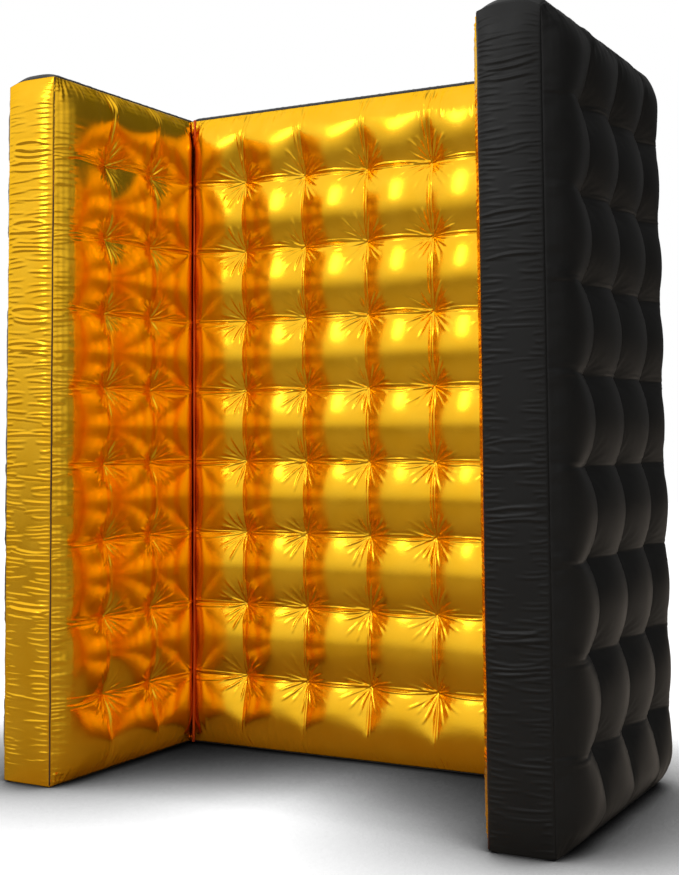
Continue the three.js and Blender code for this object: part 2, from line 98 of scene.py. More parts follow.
# %% Camera
EYE = Vector((2.3283, -4.3367, 1.1575))
YAW = 0.5122
TILT = 0.0705
ROLL = 0.0059
camera_data = bpy.data.cameras.new("camera")
camera = bpy.data.objects.new("camera", camera_data)
scene.collection.objects.link(camera)
ahead = Vector((-math.sin(YAW) * math.cos(TILT), math.cos(YAW) * math.cos(TILT), math.sin(TILT)))
turn = ahead.to_track_quat("-Z", "Y").to_matrix().to_4x4() @ Matrix.Rotation(-ROLL, 4, "Z")
camera.matrix_world = Matrix.Translation(EYE) @ turn
camera_data.sensor_width = 36
camera_data.lens = 58.72
camera_data.shift_x = 0.0421
camera_data.shift_y = -0.1158
camera_data.clip_end = 100
scene.camera = camera
print("camera at", [round(c, 2) for c in EYE])

# %% [markdown]
# ## How a tufted wall puffs out
# Air pushes the cloth out, and straps hold it at the tufts, so every cell is a pillow: a crease runs
# from tuft to tuft along each row, and a shallower valley runs down each column. Next to a seam the
# wall is a plain round tube, because nothing holds it there, and the creases fade before they reach
# it. A few numbers shape all the walls alike.

# %% Valleys and shoulders
SEAM_ROUND = 2.0  # roundness of the tube next to a plain seam
CORNER_ROUND = 2.9  # the same where two puffed faces meet, which is fuller
TOUCH = 0.985  # how near the meeting faces come to the line halfway between them
LEAN = 0.44  # steepest rise behind the right wing's front seam
CREASE = 1.9  # sharpness of a valley
UNPULLED, PULL_GROWS = 0.08, 0.62  # shares of an end cell: free of the tufts' pull, then growing
CROWN = 0.93  # share of the full crest that a pillow reaches
OWN_SIZE = 0.05  # how much one pillow differs from the next


def valley(values, marks, low_round=SEAM_ROUND, high_round=SEAM_ROUND):
    """For each place along a side: the cell it is in, 1 at a tuft line and 0 mid cell, the seam's round
    shoulder, and how far the tufts' pull reaches there."""
    marks = np.asarray(marks)
    cell = np.clip(np.searchsorted(marks, values, side="right") - 1, 0, len(marks) - 2)
    t = np.clip((values - marks[cell]) / (marks[cell + 1] - marks[cell]), 0, 1)
    dip = np.abs(2 * t - 1) ** CREASE
    first = np.where(cell == 0, t, np.where(cell == len(marks) - 2, 1 - t, 1.0))
    dip = np.where(first < 0.5, 0, dip)
    shoulder = 1 - np.clip(1 - 2 * first, 0, 1) ** np.where(cell == 0, low_round, high_round)
    reach = np.clip((first - UNPULLED) / PULL_GROWS, 0, 1)
    return cell, dip, shoulder, reach * reach * (3 - 2 * reach)


print("a valley's sharpness", CREASE)


# %% The puffed height of a panel
def from_edges(us):
    """The two upright edges of a panel, each with the distances from it."""
    return ("low_u", us - us[0]), ("high_u", us[-1] - us)


def press(heights, us, corners):
    """Keeps a face on its own side of the line between it and the face that it meets at a corner."""
    for edge, away in from_edges(us):
        if edge in corners:
            heights = np.minimum(heights, TOUCH * away[None, :])
    return heights


def puff(us, vs, u_marks, v_marks, crest, seed, dips, corners=()):
    """Heights of a panel, one row of the result for each place in vs. corners names the edges that meet
    another puffed face, and "lean" draws the cloth tighter behind the front seam."""
    rounds = [CORNER_ROUND if edge in corners else SEAM_ROUND for edge in ("low_u", "high_u")]
    cu, dip_u, shoulder_u, reach_u = valley(us, u_marks, *rounds)
    cv, dip_v, shoulder_v, reach_v = valley(vs, v_marks)
    du, dv = dip_u[None, :], dip_v[:, None]
    row_dip, column_dip = dips
    held = row_dip * dv * reach_u[None, :] + column_dip * du * reach_v[:, None]
    held = held + (1 - row_dip - column_dip) * du * dv
    own = np.random.default_rng(seed).uniform(-OWN_SIZE, OWN_SIZE, (len(v_marks), len(u_marks)))
    own = own[cv[:, None], cu[None, :]] * (1 - du) * (1 - dv)
    heights = crest * CROWN * shoulder_u[None, :] * shoulder_v[:, None] * (1 - held) * (1 + own)
    heights = press(heights, us, corners)
    if "lean" in corners:
        cap = LEAN * np.maximum(us - us[0], 1e-6)[None, :]
        heights = heights / (1 + (heights / cap) ** 4) ** 0.25
    return heights


print("roundness at a seam", SEAM_ROUND, "and at a corner", CORNER_ROUND)

# %% [markdown]
# ## Folds
# Where a strap pulls a point of the cloth in, the spare cloth gathers into fine folds, like the
# spokes of a wheel. Long folds also run from tuft to tuft, and seams gather the cloth in short folds
# square to the stitching. Each fold is a thin ridge with a shallow trough on both sides, drawn into
# the height of the cloth, because it catches light.

# %% One fold
RIDGE = 1.4  # a ridge, less a wider and lower one, leaves a trough on both sides
TROUGH, TROUGH_SPREAD = 0.4, 2.2


def fold(field, us, vs, start, end, height, width, bow=0.0, rise=0.4, fall=1.0):
    """Adds one ridge from start to end, bowed to the left by bow. The powers rise and fall shape its two
    ends: low powers are blunt."""
    du, dv = end[0] - start[0], end[1] - start[1]
    length = math.hypot(du, dv)
    du, dv = du / length, dv / length
    around = abs(bow) + 4 * width
    i0, i1 = np.searchsorted(us, [min(start[0], end[0]) - around, max(start[0], end[0]) + around])
    j0, j1 = np.searchsorted(vs, [min(start[1], end[1]) - around, max(start[1], end[1]) + around])
    u, v = us[None, i0:i1] - start[0], vs[j0:j1, None] - start[1]
    s = np.clip((u * du + v * dv) / length, 0, 1)
    across = (v * du - u * dv - bow * 4 * s * (1 - s)) / (width * (0.65 + 0.6 * s))
    top = (rise / (rise + fall)) ** rise * (fall / (rise + fall)) ** fall
    swell = s**rise * (1 - s) ** fall / top
    section = RIDGE * np.exp(-(across**2)) - TROUGH * np.exp(-((across / TROUGH_SPREAD) ** 2))
    field[j0:j1, i0:i1] += height * swell * section


print("a ridge of", RIDGE, "over a trough of", TROUGH)

# %% Spokes and long folds
SPOKES = 17  # folds round one tuft
SPOKE_REACH = 0.078
SPOKE_WIDTH = 0.0040
LONG_BOWS = (0.010, 0.003, -0.006)  # the three long folds from tuft to tuft, by how far they bow
DOWN_BOWS = (-0.011, -0.005)  # the two that run down a column
NARROW_FOLDS = (0.0026, 0.0040)  # ranges of a gather's width
MIDDLE_FOLDS = (0.0034, 0.0048)
WIDE_FOLDS = (0.0045, 0.0062)


def tuft_folds(field, us, vs, u_marks, v_marks, size, seed, side=1):
    """Spokes round every tuft, and long folds along the creases between them."""
    draw = np.random.default_rng(seed)
    for i, tu in enumerate(u_marks[1:-1], 1):
        for j, tv in enumerate(v_marks[1:-1], 1):
            start = draw.uniform(0, 2 * math.pi)
            for k in range(SPOKES):
                at = start + (k + draw.uniform(-0.28, 0.28)) * 2 * math.pi / SPOKES
                far = SPOKE_REACH + draw.uniform(0, 0.034) + 0.012 * abs(math.cos(at))
                out = (math.cos(at), math.sin(at))
                near = draw.uniform(0.002, 0.006)
                start_spoke = (tu + near * out[0], tv + near * out[1])
                end_spoke = (tu + far * out[0], tv + far * out[1])
                strength = size * draw.uniform(0.6, 1.25)
                bend = draw.uniform(-0.005, 0.005)
                fold(field, us, vs, start_spoke, end_spoke, strength, SPOKE_WIDTH, bend, 0.5, 0.8)
            for bow in LONG_BOWS:
                to_seam = i == len(u_marks) - 2
                end = (u_marks[i + 1] - 0.01 * to_seam, tv + draw.uniform(-0.004, 0.004))
                fold(field, us, vs, (tu, tv), end, size * draw.uniform(0.7, 1.1), 0.0038,
                     bow + draw.uniform(-0.002, 0.002), 0.3, 0.9 if to_seam else 0.3)
                if i == 1:
                    fold(field, us, vs, (tu, tv), (u_marks[0] + 0.01, tv + draw.uniform(-0.02, 0.02)),
                         size * draw.uniform(0.6, 1.0), 0.0032, bow, 0.3, 0.8)
            for bow in DOWN_BOWS:
                end = (tu + draw.uniform(-0.003, 0.003), v_marks[j - 1] + 0.02 * (j == 1))
                fold(field, us, vs, (tu, tv), end, size * draw.uniform(0.35, 0.7), 0.0030,
                     side * (bow + draw.uniform(-0.003, 0.003)), 0.3, 0.5)
            if j == len(v_marks) - 2:
                for _ in range(3):
                    fold(field, us, vs, (tu, tv), (tu + draw.uniform(-0.03, 0.03), v_marks[-1] - 0.01),
                         size * draw.uniform(0.5, 0.9), 0.0035, draw.uniform(-0.01, 0.01), 0.3, 0.4)


print("spokes per tuft", SPOKES)


# %% Gathers along a seam
def seam_gathers(field, us, vs, edge, gap_along, lengths, size, seed, widths=NARROW_FOLDS, slope=0.12):
    """Short folds square to one side of a panel; edge is "low_u", "high_u", "low_v" or "high_v"."""
    draw = np.random.default_rng(seed)
    across, along = (us, vs) if edge.endswith("u") else (vs, us)
    sign = 1 if edge.startswith("low") else -1
    seam = across[0] if sign == 1 else across[-1]
    place = along[0] + gap_along
    while place < along[-1] - gap_along:
        length = draw.uniform(*lengths) * (1.5 if draw.random() < 0.12 else 1)
        far = place + draw.uniform(-slope, slope) * length
        a, b = (seam + sign * 0.002, place), (seam + sign * length, far)
        if not edge.endswith("u"):
            a, b = a[::-1], b[::-1]
        strength = size * draw.uniform(0.5, 1.2)
        width = draw.uniform(*widths)
        fold(field, us, vs, a, b, strength, width, draw.uniform(-0.004, 0.004), 0.25, 0.9)
        place += gap_along * draw.uniform(0.55, 1.5)


print("usual width of a gather", NARROW_FOLDS)

# %% [markdown]
# ## Laying the cloth
# The cloth starts as a flat grid. Its lines crowd together at the tufts and seams, where the folds
# are fine, and spread out in the smooth middle of a cell, which keeps the mesh small.

# %% Grid lines and the cloth blank
CROWD = 0.42  # 0 spaces the lines evenly; towards 1 they crowd at the tufts


def grid_lines(marks, steps, cell):
    """Places of the grid lines along one side of a panel."""
    lines = [marks[0]]
    for low, high in zip(marks[:-1], marks[1:]):
        count = max(4, int(round(steps * (high - low) / cell)))
        s = np.arange(1, count + 1) / count
        lines.extend(low + (high - low) * (s - CROWD * np.sin(2 * math.pi * s) / (2 * math.pi)))
    return np.array(lines)


def blank(us, vs):
    """A flat bmesh grid, and the column and row number of each of its vertices."""
    bm = bmesh.new()
    nu, nv = len(us) - 1, len(vs) - 1
    bmesh.ops.create_grid(bm, x_segments=nu, y_segments=nv, size=0.5)
    spots = np.array([v.co[:2] for v in bm.verts]) + 0.5
    return bm, np.rint(spots[:, 0] * nu).astype(int), np.rint(spots[:, 1] * nv).astype(int)


def finish_mesh(bm, name):
    """Turns a bmesh into an object of the scene."""
    mesh = bpy.data.meshes.new(name)
    bm.to_mesh(mesh)
    bm.free()
    obj = bpy.data.objects.new(name, mesh)
    scene.collection.objects.link(obj)
    return obj


def set_points(bm, points):
    for vert, point in zip(bm.verts, points):
        vert.co = point


print("crowding of grid lines", CROWD)

# %% [markdown]
# ## Letting the air in
# A cloth simulation with air pressure, pinned at the tufts and the seams, moves the plain pillows
# into uneven ones, as real cloth settles. It runs on a coarse copy of each panel and its result moves
# the fine cloth, because a mesh fine enough for the folds would take far too long to simulate.

# %% Cloth simulation of one panel
FRAMES = 20
SETTLE_CAP = 0.009  # the farthest that the air may move a point


def settle(name, us, vs, points, held, outward):
    """Simulates the coarse panel and gives how far each of its points moved."""
    bm, i, j = blank(us, vs)
    flat = np.stack(points, axis=-1)
    set_points(bm, flat[j, i])
    bm.normal_update()
    if sum((face.normal for face in bm.faces), Vector()).dot(outward) < 0:
        bmesh.ops.reverse_faces(bm, faces=bm.faces)
    obj = finish_mesh(bm, name + "_air")
    pins = obj.vertex_groups.new(name="pins")
    pins.add([int(k) for k in np.nonzero(held[j, i])[0]], 1.0, "REPLACE")
    cloth = obj.modifiers.new("air", "CLOTH")
    settings = cloth.settings
    settings.quality = 4
    settings.mass = 0.15
    settings.tension_stiffness = 12
    settings.compression_stiffness = 4
    settings.shear_stiffness = 3
    settings.bending_stiffness = 0.05
    settings.use_pressure = True
    settings.uniform_pressure_force = 3.0
    settings.shrink_min = -0.025
    settings.vertex_group_mass = "pins"
    settings.effector_weights.gravity = 0
    cloth.collision_settings.use_collision = False
    cloth.point_cache.frame_end = FRAMES
    for frame_number in range(1, FRAMES + 1):
        scene.frame_set(frame_number)
    depsgraph = bpy.context.evaluated_depsgraph_get()
    result = obj.evaluated_get(depsgraph)
    after = np.empty(len(result.data.vertices) * 3)
    result.data.vertices.foreach_get("co", after)
    moved = np.zeros_like(flat)
    moved[j, i] = after.reshape(-1, 3) - flat[j, i]
    scene.frame_set(1)
    bpy.data.objects.remove(obj)
    length = np.linalg.norm(moved, axis=-1, keepdims=True)
    farthest, usual = float(length.max()), float(length.mean())
    print(name, "moved up to", round(farthest, 4), "m, on average", round(usual, 4))
    return moved * np.minimum(1, SETTLE_CAP / np.maximum(length, 1e-9))


print("the air settles for", FRAMES, "frames and moves no point more than", SETTLE_CAP, "m")


# %% From the coarse copy to the fine cloth
def resample(coarse, old_u, old_v, new_u, new_v):
    """The coarse field at the fine lines, smoothed a little between its points."""
    for _ in range(2):
        coarse = 0.5 * coarse + 0.125 * (np.roll(coarse, 1, 0) + np.roll(coarse, -1, 0)
                                         + np.roll(coarse, 1, 1) + np.roll(coarse, -1, 1))
    i = np.clip(np.searchsorted(old_u, new_u, side="right") - 1, 0, len(old_u) - 2)
    j = np.clip(np.searchsorted(old_v, new_v, side="right") - 1, 0, len(old_v) - 2)
    s = ((new_u - old_u[i]) / (old_u[i + 1] - old_u[i]))[None, :, None]
    t = ((new_v - old_v[j]) / (old_v[j + 1] - old_v[j]))[:, None, None]
    s, t = s * s * (3 - 2 * s), t * t * (3 - 2 * t)
    low = coarse[j][:, i] * (1 - s) + coarse[j][:, i + 1] * s
    high = coarse[j + 1][:, i] * (1 - s) + coarse[j + 1][:, i + 1] * s
    return low * (1 - t) + high * t


print("the coarse field is eased between its points")

# %% [markdown]
# ## From a blank to a closed pad
# Each panel is one closed, crowned pad: the puffed cloth in front, and a flat sheet on the seam plane
# behind it, which nobody sees. `place` turns (u, v, height) into the frame, so one function serves
# the back and both wings.

# %% Softened corners
TOP_RISE = strip_high.z - Z_TOP
CORNER_WIDTH = 0.075
CORNER_HEIGHT = 0.16
BOTTOM_LIFT = 0.15  # the lower corners rise by this share of what the upper ones sink
UPRIGHTS = [  # x, y and the farthest sinking of each upright edge
    (-HALF_OUT, Y_FRONT, 0.018),
    (HALF_OUT, Y_FRONT, 0.030),
    (-HALF_IN, Y_FRONT, 0.001),
    (HALF_IN, Y_FRONT, 0.015),
    (-HALF_OUT, Y_OUTER, 0.024),
    (HALF_OUT, Y_OUTER, 0.024),
]


def ease_corners(points):
    """Draws the cloth in where three seams meet, because air can't fill a sharp corner."""
    drop = np.zeros(len(points))
    for x, y, deepest in UPRIGHTS:
        near = np.clip(1 - np.hypot(points[:, 0] - x, points[:, 1] - y) / CORNER_WIDTH, 0, 1)
        drop = np.maximum(drop, near * near * deepest)
    top = np.clip(1 - (Z_TOP + TOP_RISE - points[:, 2]) / CORNER_HEIGHT, 0, 1)
    bottom = np.clip(1 - (points[:, 2] - Z_LOW) / CORNER_HEIGHT, 0, 1)
    points[:, 2] += drop * (BOTTOM_LIFT * bottom - top)
    return points


print("softened upright edges", len(UPRIGHTS))

# %% Closing a pad
BACKING = 0.0011


def pad(name, us, vs, place, heights, moved=None, back=BACKING, outline=None):
    """Closes the cloth over (us, vs) into a pad, with a flat sheet that far back behind its rim. A piece
    with an outline of its own lies flat, so its corners aren't eased."""
    bm, i, j = blank(us, vs)
    u, v = (us[i], vs[j]) if outline is None else outline(us[i], vs[j])
    points = np.stack(place(u, v, heights[j, i]), axis=1)
    if moved is not None:
        points = points + moved[j, i]
    set_points(bm, ease_corners(points) if outline is None else points)
    rim = [e for e in bm.edges if e.is_boundary]
    made = bmesh.ops.extrude_edge_only(bm, edges=rim)["geom"]
    skirt = [g for g in made if isinstance(g, bmesh.types.BMVert)]
    inward = Vector(place(0.0, 0.0, -back)) - Vector(place(0.0, 0.0, 0.0))
    bmesh.ops.translate(bm, verts=skirt, vec=inward)
    bmesh.ops.edgeloop_fill(bm, edges=[e for e in bm.edges if e.is_boundary])
    bmesh.ops.recalc_face_normals(bm, faces=bm.faces)
    for face in bm.faces:
        face.smooth = len(face.verts) == 4
    obj = finish_mesh(bm, name)
    print(name, len(obj.data.polygons), "faces")
    return obj


print("pads close on a sheet", BACKING, "m behind the seam")

# %% Building a puffed panel
AIR_STEPS = 13  # grid steps in one cell of the coarse copy
STILL, WAKING = 0.035, 0.06  # near a corner the air moves nothing, then more and more
FLATTENED = 0.2  # the air also leaves places alone that are flattened more than this


def pinned(us, vs, u_marks, v_marks, ease):
    """True where the air can't move the cloth: at the seams, the tufts and the flattened places."""
    grid_u, grid_v = np.meshgrid(us, vs)
    held = (grid_u <= us[0]) | (grid_u >= us[-1]) | (grid_v <= vs[0]) | (grid_v >= vs[-1])
    on_u = np.isclose(us[None, :, None], np.array(u_marks)[None, None, :]).any(axis=2)
    on_v = np.isclose(vs[:, None, None], np.array(v_marks)[None, None, :]).any(axis=2)
    held = held | (on_u & on_v)
    if ease is not None:
        held = held | (ease(us, vs) > FLATTENED)
    return held


def puffed_panel(
    name, u_marks, v_marks, steps, cell, place, crest, seed, folds, dips, corners=(), ease=None
):
    """A tufted panel: pillows, then air, then folds. ease flattens the places where something is sewn on."""
    us, vs = grid_lines(u_marks, steps, cell), grid_lines(v_marks, steps, cell)
    heights = puff(us, vs, u_marks, v_marks, crest, seed, dips, corners)
    moved = None
    cu, cv = grid_lines(u_marks, AIR_STEPS, cell), grid_lines(v_marks, AIR_STEPS, cell)
    rough = puff(cu, cv, u_marks, v_marks, crest, seed, dips, corners)
    held = pinned(cu, cv, u_marks, v_marks, ease)
    outward = Vector(place(0.0, 0.0, 1.0)) - Vector(place(0.0, 0.0, 0.0))
    points = np.broadcast_arrays(*place(*np.meshgrid(cu, cv), rough))
    coarse = settle(name, cu, cv, points, held, outward)
    coarse[held] = 0
    moved = resample(coarse, cu, cv, us, vs)
    for edge, away in from_edges(us):
        if edge in corners:
            moved = moved * np.clip((away - STILL) / WAKING, 0, 1)[None, :, None]
    field = np.zeros_like(heights)
    folds(field, us, vs)
    heights = press(np.maximum(heights + field, 0), us, corners)
    if ease is not None:
        mask = ease(us, vs)
        heights = heights * (1 - mask) + PLATEAU * mask
        if moved is not None:
            moved = moved * (1 - mask[:, :, None])
    return pad(name, us, vs, place, heights, moved)


print("the air moves a grid of", AIR_STEPS, "steps in a cell")

# %% [markdown]
# ## Weave
# Both cloths are coated nylon. A plain weave shows close up as a fine grid of bumps, so one node
# group makes it from object coordinates and both cloth materials use it with their own strength.

# %% Node helpers
def group(name, inputs, outputs):
    """A new node group with its sockets."""
    tree = bpy.data.node_groups.new(name, "ShaderNodeTree")
    for label, kind, value in inputs:
        socket = tree.interface.new_socket(name=label, in_out="INPUT", socket_type=kind)
        socket.default_value = value
    for label, kind in outputs:
        tree.interface.new_socket(name=label, in_out="OUTPUT", socket_type=kind)
    start = tree.nodes.new("NodeGroupInput")
    end = tree.nodes.new("NodeGroupOutput")
    return tree, start, end


def node(tree, kind, links=None, **values):
    """Adds a node; values set its inputs or its own settings, and links joins its inputs to others."""
    made = tree.nodes.new(kind)
    for key, value in values.items():
        if key in made.inputs.keys():
            made.inputs[key].default_value = value
        else:
            setattr(made, key, value)
    for key, source in (links or {}).items():
        tree.links.new(source, made.inputs[key])
    return made


def maths(tree, operation, a, b=None):
    """Adds a maths node on numbers or sockets, and gives its output."""
    made = tree.nodes.new("ShaderNodeMath")
    made.operation = operation
    for socket, value in zip(made.inputs, (a, b)):
        if value is None:
            continue
        if isinstance(value, (int, float)):
            socket.default_value = value
        else:
            tree.links.new(value, socket)
    return made.outputs[0]


print("helpers", group.__name__, node.__name__, maths.__name__)

# %% The weave
weave, weave_in, weave_out = group(
    "cloth_weave",
    [("Thread", "NodeSocketFloat", 900.0), ("Unevenness", "NodeSocketFloat", 0.5)],
    [("Height", "NodeSocketFloat"), ("Blotch", "NodeSocketFloat")],
)
where = node(weave, "ShaderNodeTexCoord")
split = node(weave, "ShaderNodeSeparateXYZ", {"Vector": where.outputs["Object"]})
flat = maths(weave, "ADD", split.outputs["X"], split.outputs["Y"])
warp = maths(weave, "SINE", maths(weave, "MULTIPLY", flat, weave_in.outputs["Thread"]))
weft = maths(weave, "SINE", maths(weave, "MULTIPLY", split.outputs["Z"], weave_in.outputs["Thread"]))
threads = maths(weave, "MULTIPLY", warp, weft)
blotch = node(weave, "ShaderNodeTexNoise", {"Vector": where.outputs["Object"]}, Scale=9.0, Detail=3.0)
uneven = maths(weave, "MULTIPLY", blotch.outputs["Fac"], weave_in.outputs["Unevenness"])
weave.links.new(maths(weave, "MULTIPLY", threads, uneven), weave_out.inputs["Height"])
weave.links.new(blotch.outputs["Fac"], weave_out.inputs["Blotch"])
print("weave group nodes", len(weave.nodes))


# %% [markdown]
# ## Gold and black cloth
# The gold cloth is a metal film on nylon: it mirrors softly, and gold that mirrors gold turns orange,
# which path tracing gives for nothing. The black cloth is the same nylon with a dull coating, so it
# only shows a broad sheen.

# %% Cloth materials
def material(name, base, roughness, metallic=0.0):
    """A new material, with its node tree and its shader."""
    made = bpy.data.materials.new(name)
    made.use_nodes = True
    shader = made.node_tree.nodes["Principled BSDF"]
    shader.inputs["Base Color"].default_value = (*base, 1)
    shader.inputs["Roughness"].default_value = roughness
    shader.inputs["Metallic"].default_value = metallic
    made.diffuse_color = (*base, 1)
    return made, made.node_tree, shader


def ramp(tree, factor, stops):
    made = tree.nodes.new("ShaderNodeValToRGB")
    tree.links.new(factor, made.inputs["Fac"])
    while len(made.color_ramp.elements) < len(stops):
        made.color_ramp.elements.new(0.5)
    for element, (place, colour) in zip(made.color_ramp.elements, stops):
        element.position = place
        element.color = (*colour, 1)
    return made.outputs["Color"]


def woven(name, base, deep, rough_low, rough_high, metallic, thread, bump):
    """Woven cloth; deep is its second colour, and thread sets how fine the weave is."""
    made, tree, shader = material(name, base, rough_low, metallic)
    cloth = tree.nodes.new("ShaderNodeGroup")
    cloth.node_tree = weave
    cloth.inputs["Thread"].default_value = thread
    tint = ramp(tree, cloth.outputs["Blotch"], [(0.3, deep), (0.65, base)])
    tree.links.new(tint, shader.inputs["Base Color"])
    rough = node(tree, "ShaderNodeMapRange", {"Value": cloth.outputs["Blotch"]})
    rough.inputs["From Min"].default_value = 0.2
    rough.inputs["From Max"].default_value = 0.7
    rough.inputs["To Min"].default_value = rough_low
    rough.inputs["To Max"].default_value = rough_high
    tree.links.new(rough.outputs["Result"], shader.inputs["Roughness"])
    threads = {"Height": cloth.outputs["Height"]}
    relief = node(tree, "ShaderNodeBump", threads, Strength=bump, Distance=0.0004)
    tree.links.new(relief.outputs["Normal"], shader.inputs["Normal"])
    return made


print("cloths share the group", weave.name)

# %% The three cloths
gold = woven("gold_cloth", (0.96, 0.53, 0.024), (0.93, 0.49, 0.016), 0.16, 0.24, 1.0, 2600.0, 0.1)
gold_shader = gold.node_tree.nodes["Principled BSDF"]
gold_shader.inputs["Specular Tint"].default_value = (1.0, 0.86, 0.45, 1)
BLACK, DEEP_BLACK = (0.0034, 0.0033, 0.0029), (0.0026, 0.0025, 0.0022)
black = woven("black_cloth", BLACK, DEEP_BLACK, 0.40, 0.48, 0.0, 2200.0, 0.2)
black.node_tree.nodes["Principled BSDF"].inputs["Specular IOR Level"].default_value = 0.26
ground = woven("ground_cloth", (0.014, 0.014, 0.015), (0.01, 0.01, 0.011), 0.6, 0.75, 0.0, 1400.0, 0.4)
print("cloth materials", gold.name, black.name, ground.name)

# %% [markdown]
# ## The inner gold faces
# The back and the two wings share one recipe. The wings are the same panel turned to face the middle.

# %% How fine the panels are
FINE = 60  # grid steps in one cell
COARSE = 32
BACK_CELL, WING_CELL = 0.26, 0.27
GOLD_DIPS = (0.50, 0.47)  # depths of the row creases and the column valleys, as shares of the crest
BLACK_DIPS = (0.40, 0.44)
V_MARKS = [Z_LOW, *ROW_TIES, Z_TOP]
FRONT_SEAM = Y_FRONT + TUCK


print("rows of cells", ROWS, "columns on the back", len(BACK_TIES) + 1)


# %% Inner faces of the back and the wings
def facing_front(u, v, w):
    return u, Y_BACK - w, v


def facing_in(side):
    return lambda u, v, w: (side * (HALF_IN + SEAT - w), u, v)


def gold_folds(u_marks, seed, corners, side):
    def draw_folds(field, us, vs):
        tuft_folds(field, us, vs, u_marks, V_MARKS, 0.0038, seed, side)
        for edge in ("low_u", "high_u"):
            if edge in corners:
                seam_gathers(field, us, vs, edge, 0.011, (0.02, 0.045), 0.0020, seed + 3)
            else:
                seam_gathers(field, us, vs, edge, 0.016, (0.03, 0.08), 0.0031, seed + 4, MIDDLE_FOLDS)
        seam_gathers(field, us, vs, "high_v", 0.016, (0.03, 0.10), 0.0054, seed + 5, WIDE_FOLDS)
        seam_gathers(field, us, vs, "low_v", 0.019, (0.03, 0.10), 0.0042, seed + 6, WIDE_FOLDS)

    return draw_folds


back_marks = [-HALF_IN, *BACK_TIES, HALF_IN]
wing_marks = [FRONT_SEAM, *WING_TIES, Y_BACK - SEAT]
both_edges = ("low_u", "high_u")
panels = {}
panels["back_inner_panel"] = puffed_panel(
    "gold_back_face", back_marks, V_MARKS, FINE, BACK_CELL, facing_front, INNER_CREST, 21,
    gold_folds(back_marks, 21, both_edges, -1), GOLD_DIPS, both_edges)
for side, word in SIDES:
    panels[f"{word}_inner_panel"] = puffed_panel(
        f"gold_{word}_face", wing_marks, V_MARKS, FINE, WING_CELL, facing_in(side), INNER_CREST, 33 + side,
        gold_folds(wing_marks, 43 + side, ("high_u",), 1), GOLD_DIPS,
        ("high_u", "lean") if word == "right" else ("high_u",))

# %% [markdown]
# ## The outer black faces
# The same tufts, seen from outside. The back has flattened places where the blower's flange, the zip
# and the anchor patches are sewn on, so its height is eased to a level plateau there.

# %% Flattened places
PLATEAU_FADE = 0.05  # how wide the slope round a flattened place is
FLANGE_ROOM, ZIP_ROOM, PATCH_ROOM = 0.012, 0.02, 0.006  # flat cloth kept round each sewn piece
outer_wing_marks = [FRONT_SEAM, *WING_TIES, Y_BACK - TUCK, Y_OUTER - TUCK]
corner_tie = HALF_IN - TUCK
outer_back_marks = [-HALF_OUT, -corner_tie, *BACK_TIES, corner_tie, HALF_OUT]


def facing_out(side):
    return lambda u, v, w: (side * (HALF_OUT + SEAT + w), u, v)


def facing_rear(u, v, w):
    return u, Y_OUTER + w, v


def plateaus(us, vs):
    """1 on the flattened places, easing to 0 around them."""
    zip_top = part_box("zip_tape_upper")[1].z
    spots = [(flange_low, flange_high, flange_high.z, FLANGE_ROOM), (tape_low, tape_high, zip_top, ZIP_ROOM)]
    for word in ("left", "right"):
        low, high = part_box(f"{word}_anchor_patch")
        spots.append((low, high, high.z, PATCH_ROOM))
    mask = np.zeros((len(vs), len(us)))
    for low, high, top, margin in spots:
        du = np.maximum(np.maximum(low.x - margin - us, us - high.x - margin), 0)[None, :]
        dv = np.maximum(np.maximum(low.z - margin - vs, vs - top - margin), 0)[:, None]
        t = np.clip(1 - np.hypot(du, dv) / PLATEAU_FADE, 0, 1)
        mask = np.maximum(mask, t * t * (3 - 2 * t))
    return mask


print("flattened places reach", round(PLATEAU, 4), "m behind the seams")


# %% Outer faces of the back and the wings
def black_folds(u_marks, seed):
    def draw_folds(field, us, vs):
        tuft_folds(field, us, vs, u_marks, V_MARKS, 0.0019, seed)
        for k, edge in enumerate(("low_u", "high_u")):
            seam_gathers(field, us, vs, edge, 0.017, (0.03, 0.09), 0.0013, seed + 3 + k)
        seam_gathers(field, us, vs, "high_v", 0.026, (0.05, 0.14), 0.0042, seed + 5, WIDE_FOLDS)
        seam_gathers(field, us, vs, "low_v", 0.03, (0.04, 0.11), 0.0030, seed + 6, WIDE_FOLDS)

    return draw_folds


for side, word in SIDES:
    panels[f"{word}_outer_panel"] = puffed_panel(
        f"black_{word}_face", outer_wing_marks, V_MARKS, COARSE, WING_CELL, facing_out(side), OUTER_CREST,
        50 + side, black_folds(outer_wing_marks, 55 + side), BLACK_DIPS)
panels["back_outer_panel"] = puffed_panel(
    "black_back_face", outer_back_marks, V_MARKS, COARSE, BACK_CELL, facing_rear, OUTER_CREST, 61,
    black_folds(outer_back_marks, 61), BLACK_DIPS, (), plateaus)

# %% [markdown]
# ## The blower's port
# The blower's drum passes through a round hole in the back cloth, whose edge is clamped between a
# ring inside and the flange outside. The pad is cut by a turned shape: wide behind the cloth, where
# the clamp ring sits, and just wider than the drum through the cloth itself.

